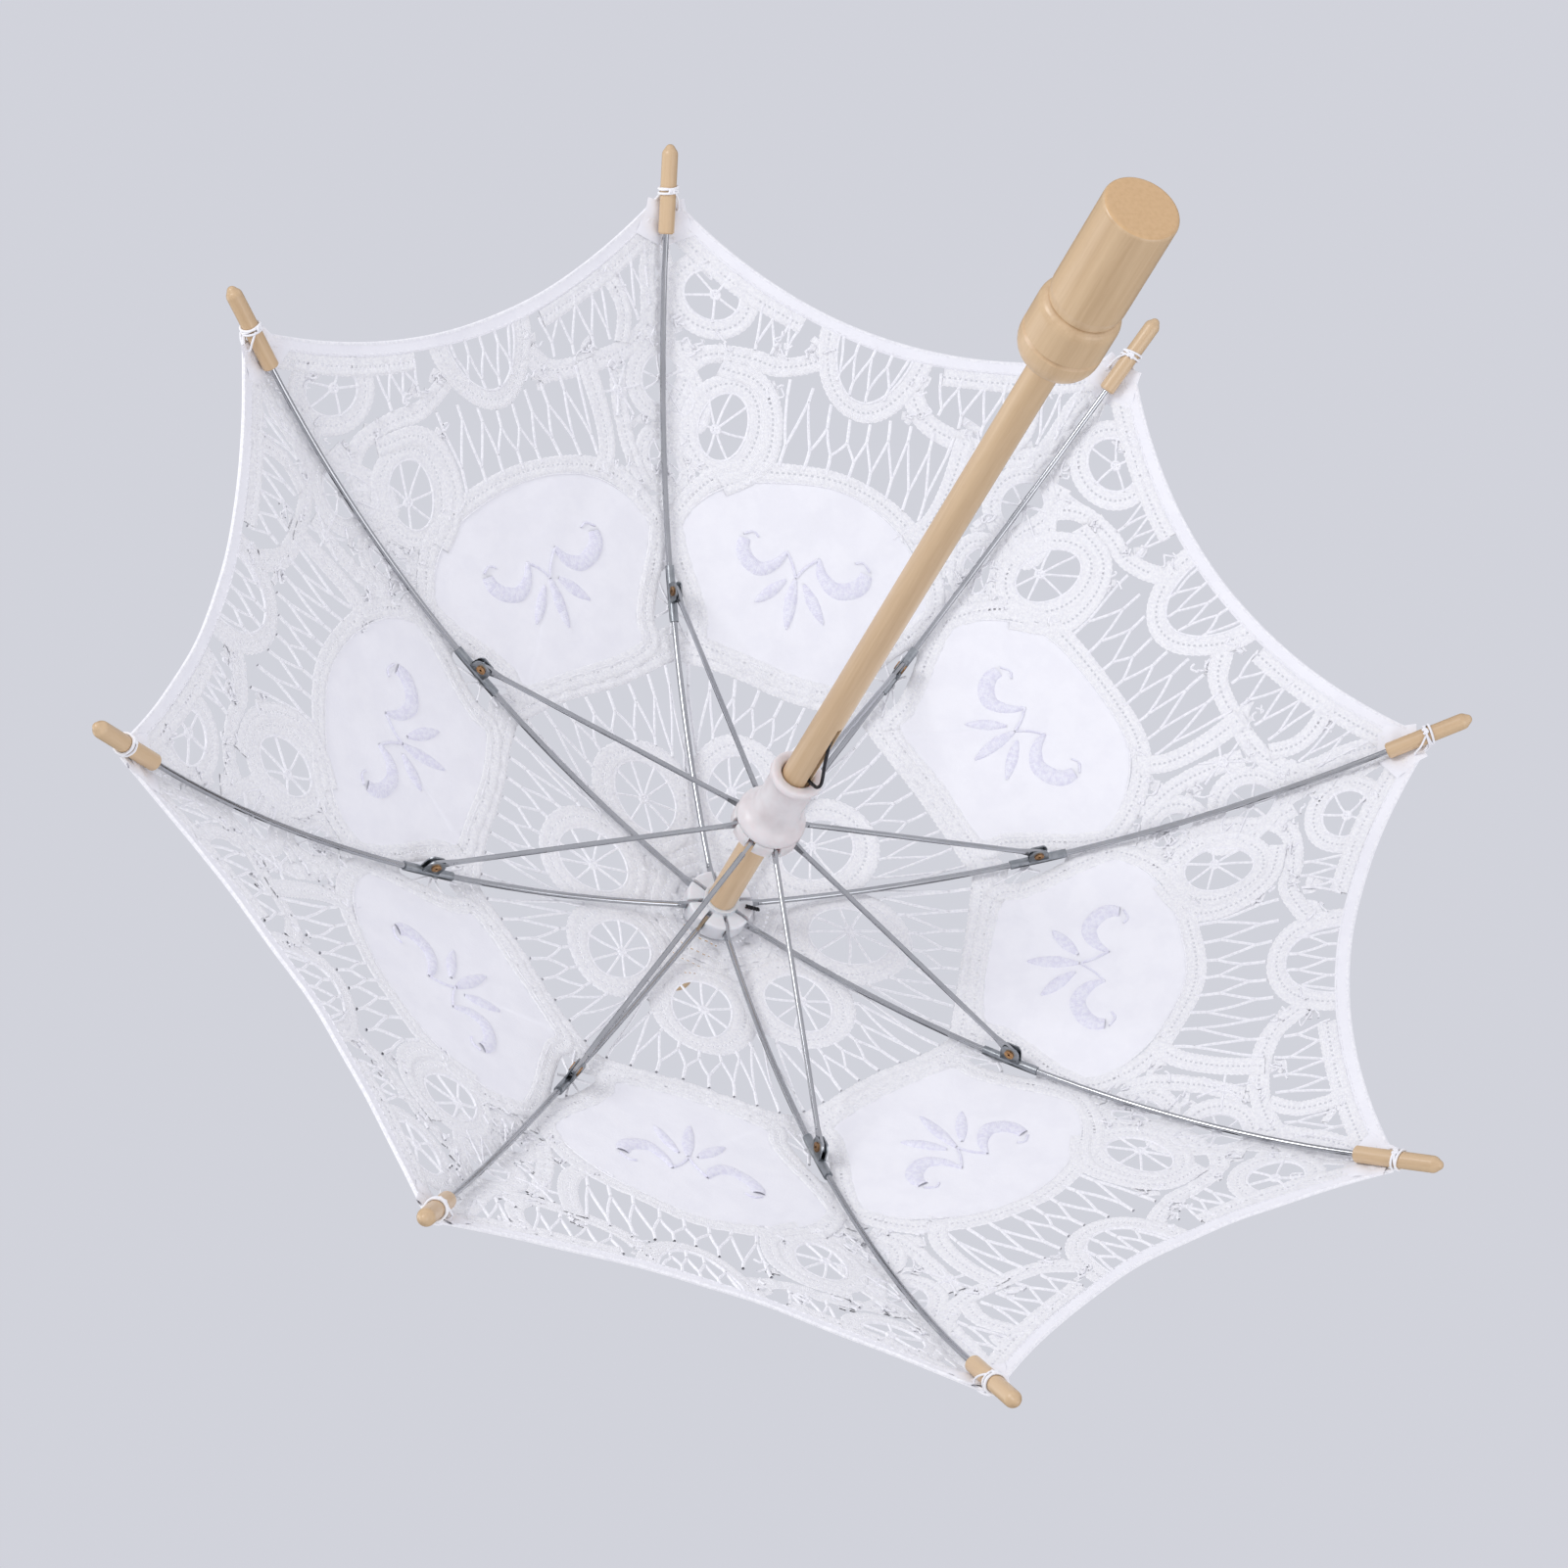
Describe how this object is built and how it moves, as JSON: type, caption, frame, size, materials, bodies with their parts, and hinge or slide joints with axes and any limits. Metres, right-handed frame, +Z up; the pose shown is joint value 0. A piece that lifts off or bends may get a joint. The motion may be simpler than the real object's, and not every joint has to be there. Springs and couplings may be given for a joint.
{
  "type": "parasol",
  "caption": "Open lace parasol: straight wooden stick with a cylindrical grip and turned collar, folding bowed steel ribs with wooden tips, sliding runner, scalloped tape-lace canopy.",
  "frame": {"origin": "centre of the handle's flat lower end, on the stick's axis", "axes": "+Z up along the stick, from the handle to the canopy; +X towards rib 1, the other ribs follow anticlockwise seen from above"},
  "size_m": [0.482, 0.482, 0.4202],
  "materials": {
    "stick_wood": "satin lacquer",
    "handle_wood": "satin lacquer",
    "ferrule_wood": "satin lacquer",
    "tip_wood": "satin lacquer",
    "notch_plastic": "gloss",
    "runner_plastic": "gloss",
    "ring_wire": "satin",
    "rib_steel": "satin",
    "stretcher_steel": "satin",
    "clip_steel": "satin",
    "rivet_brass": "satin",
    "spring_black": "gloss",
    "lace": "matt cotton"
  },
  "bodies": {
    "shaft": {"stick": "stick_wood", "handle": "handle_wood", "ferrule": "ferrule_wood", "top_notch": "notch_plastic", "top_notch_ring": "ring_wire"},
    "runner": {"runner": "runner_plastic", "runner_ring": "ring_wire"},
    "catch": {"catch_spring": "spring_black"},
    "rib_arm_1": {"rib_1": "rib_steel", "rib_tip_1": "tip_wood", "joint_clip_1": "clip_steel", "joint_rivet_1": "rivet_brass", "canopy_1": "lace"},
    "stretcher_arm_1": {"stretcher_1": "stretcher_steel"},
    "rib_arm_2": {"rib_2": "rib_steel", "rib_tip_2": "tip_wood", "joint_clip_2": "clip_steel", "joint_rivet_2": "rivet_brass", "canopy_2": "lace"},
    "stretcher_arm_2": {"stretcher_2": "stretcher_steel"},
    "rib_arm_3": {"rib_3": "rib_steel", "rib_tip_3": "tip_wood", "joint_clip_3": "clip_steel", "joint_rivet_3": "rivet_brass", "canopy_3": "lace"},
    "stretcher_arm_3": {"stretcher_3": "stretcher_steel"},
    "rib_arm_4": {"rib_4": "rib_steel", "rib_tip_4": "tip_wood", "joint_clip_4": "clip_steel", "joint_rivet_4": "rivet_brass", "canopy_4": "lace"},
    "stretcher_arm_4": {"stretcher_4": "stretcher_steel"},
    "rib_arm_5": {"rib_5": "rib_steel", "rib_tip_5": "tip_wood", "joint_clip_5": "clip_steel", "joint_rivet_5": "rivet_brass", "canopy_5": "lace"},
    "stretcher_arm_5": {"stretcher_5": "stretcher_steel"},
    "rib_arm_6": {"rib_6": "rib_steel", "rib_tip_6": "tip_wood", "joint_clip_6": "clip_steel", "joint_rivet_6": "rivet_brass", "canopy_6": "lace"},
    "stretcher_arm_6": {"stretcher_6": "stretcher_steel"},
    "rib_arm_7": {"rib_7": "rib_steel", "rib_tip_7": "tip_wood", "joint_clip_7": "clip_steel", "joint_rivet_7": "rivet_brass", "canopy_7": "lace"},
    "stretcher_arm_7": {"stretcher_7": "stretcher_steel"},
    "rib_arm_8": {"rib_8": "rib_steel", "rib_tip_8": "tip_wood", "joint_clip_8": "clip_steel", "joint_rivet_8": "rivet_brass", "canopy_8": "lace"},
    "stretcher_arm_8": {"stretcher_8": "stretcher_steel"}
  },
  "joints": [
    {"name": "runner_slide", "type": "slide", "parent": "shaft", "child": "runner", "axis": [0, 0, -1], "range_m": [0, 0.1514], "deforming": ["canopy_1", "canopy_2", "canopy_3", "canopy_4", "canopy_5", "canopy_6", "canopy_7", "canopy_8", "catch_spring"]},
    {"name": "catch_press", "type": "hinge", "parent": "shaft", "child": "catch", "pos_m": [-0.00046, -0.00019, 0.256], "axis": [-0.3827, 0.9239, 0], "range_deg": [0, 12], "stiffness_Nm_per_rad": 0.5},
    {"name": "rib_hinge_1", "type": "hinge", "parent": "shaft", "child": "rib_arm_1", "pos_m": [0.0086, 0, 0.368], "axis": [0, 1, 0], "range_deg": [0, 62]},
    {"name": "stretcher_hinge_1", "type": "hinge", "parent": "rib_arm_1", "child": "stretcher_arm_1", "pos_m": [0.10959, 0, 0.33888], "axis": [0, -1, 0], "range_deg": [0, 128.3]},
    {"name": "rib_hinge_2", "type": "hinge", "parent": "shaft", "child": "rib_arm_2", "pos_m": [0.00608, 0.00608, 0.368], "axis": [-0.7071, 0.7071, 0], "range_deg": [0, 62]},
    {"name": "stretcher_hinge_2", "type": "hinge", "parent": "rib_arm_2", "child": "stretcher_arm_2", "pos_m": [0.07749, 0.07749, 0.33888], "axis": [0.7071, -0.7071, 0], "range_deg": [0, 128.3]},
    {"name": "rib_hinge_3", "type": "hinge", "parent": "shaft", "child": "rib_arm_3", "pos_m": [0, 0.0086, 0.368], "axis": [-1, 0, 0], "range_deg": [0, 62]},
    {"name": "stretcher_hinge_3", "type": "hinge", "parent": "rib_arm_3", "child": "stretcher_arm_3", "pos_m": [0, 0.10959, 0.33888], "axis": [1, 0, 0], "range_deg": [0, 128.3]},
    {"name": "rib_hinge_4", "type": "hinge", "parent": "shaft", "child": "rib_arm_4", "pos_m": [-0.00608, 0.00608, 0.368], "axis": [-0.7071, -0.7071, 0], "range_deg": [0, 62]},
    {"name": "stretcher_hinge_4", "type": "hinge", "parent": "rib_arm_4", "child": "stretcher_arm_4", "pos_m": [-0.07749, 0.07749, 0.33888], "axis": [0.7071, 0.7071, 0], "range_deg": [0, 128.3]},
    {"name": "rib_hinge_5", "type": "hinge", "parent": "shaft", "child": "rib_arm_5", "pos_m": [-0.0086, 0, 0.368], "axis": [0, -1, 0], "range_deg": [0, 62]},
    {"name": "stretcher_hinge_5", "type": "hinge", "parent": "rib_arm_5", "child": "stretcher_arm_5", "pos_m": [-0.10959, 0, 0.33888], "axis": [0, 1, 0], "range_deg": [0, 128.3]},
    {"name": "rib_hinge_6", "type": "hinge", "parent": "shaft", "child": "rib_arm_6", "pos_m": [-0.00608, -0.00608, 0.368], "axis": [0.7071, -0.7071, 0], "range_deg": [0, 62]},
    {"name": "stretcher_hinge_6", "type": "hinge", "parent": "rib_arm_6", "child": "stretcher_arm_6", "pos_m": [-0.07749, -0.07749, 0.33888], "axis": [-0.7071, 0.7071, 0], "range_deg": [0, 128.3]},
    {"name": "rib_hinge_7", "type": "hinge", "parent": "shaft", "child": "rib_arm_7", "pos_m": [0, -0.0086, 0.368], "axis": [1, 0, 0], "range_deg": [0, 62]},
    {"name": "stretcher_hinge_7", "type": "hinge", "parent": "rib_arm_7", "child": "stretcher_arm_7", "pos_m": [0, -0.10959, 0.33888], "axis": [-1, 0, 0], "range_deg": [0, 128.3]},
    {"name": "rib_hinge_8", "type": "hinge", "parent": "shaft", "child": "rib_arm_8", "pos_m": [0.00608, -0.00608, 0.368], "axis": [0.7071, 0.7071, 0], "range_deg": [0, 62]},
    {"name": "stretcher_hinge_8", "type": "hinge", "parent": "rib_arm_8", "child": "stretcher_arm_8", "pos_m": [0.07749, -0.07749, 0.33888], "axis": [-0.7071, -0.7071, 0], "range_deg": [0, 128.3]}
  ],
  "couplings": [
    {"joint": "rib_hinge_1", "follows": "runner_slide", "rad_per_m": 7.147},
    {"joint": "stretcher_hinge_1", "follows": "runner_slide", "rad_per_m": 14.786},
    {"joint": "rib_hinge_2", "follows": "runner_slide", "rad_per_m": 7.147},
    {"joint": "stretcher_hinge_2", "follows": "runner_slide", "rad_per_m": 14.786},
    {"joint": "rib_hinge_3", "follows": "runner_slide", "rad_per_m": 7.147},
    {"joint": "stretcher_hinge_3", "follows": "runner_slide", "rad_per_m": 14.786},
    {"joint": "rib_hinge_4", "follows": "runner_slide", "rad_per_m": 7.147},
    {"joint": "stretcher_hinge_4", "follows": "runner_slide", "rad_per_m": 14.786},
    {"joint": "rib_hinge_5", "follows": "runner_slide", "rad_per_m": 7.147},
    {"joint": "stretcher_hinge_5", "follows": "runner_slide", "rad_per_m": 14.786},
    {"joint": "rib_hinge_6", "follows": "runner_slide", "rad_per_m": 7.147},
    {"joint": "stretcher_hinge_6", "follows": "runner_slide", "rad_per_m": 14.786},
    {"joint": "rib_hinge_7", "follows": "runner_slide", "rad_per_m": 7.147},
    {"joint": "stretcher_hinge_7", "follows": "runner_slide", "rad_per_m": 14.786},
    {"joint": "rib_hinge_8", "follows": "runner_slide", "rad_per_m": 7.147},
    {"joint": "stretcher_hinge_8", "follows": "runner_slide", "rad_per_m": 14.786}
  ]
}
